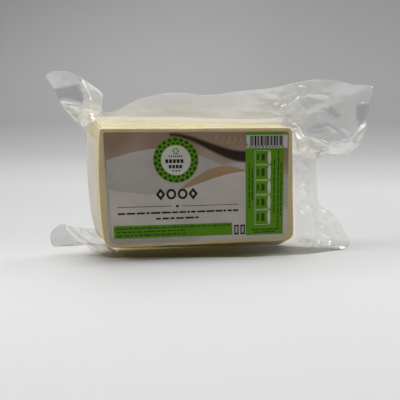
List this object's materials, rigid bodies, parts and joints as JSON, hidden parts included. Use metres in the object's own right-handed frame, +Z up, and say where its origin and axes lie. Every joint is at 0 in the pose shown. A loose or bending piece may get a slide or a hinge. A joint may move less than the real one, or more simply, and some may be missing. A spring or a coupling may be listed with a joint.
{
  "type": "vacuum-packed tofu block",
  "caption": "Block of tofu in a clear vacuum bag with loose crumpled film at its corners and a printed label on the front, standing on its long side.",
  "frame": {"origin": "on the floor under the middle of the block, in the middle of the folded edge that the pack stands on", "axes": "+X along the pack to the right, as seen from the label; +Y from the label to the back; +Z up"},
  "size_m": [0.2485, 0.0535, 0.1294],
  "materials": {
    "pack": "clear vacuum film, tight over cream-coloured tofu and loose and crumpled around it",
    "label": "satin printed paper"
  },
  "bodies": {
    "root": {"bag": "pack", "label": "label"}
  },
  "joints": []
}
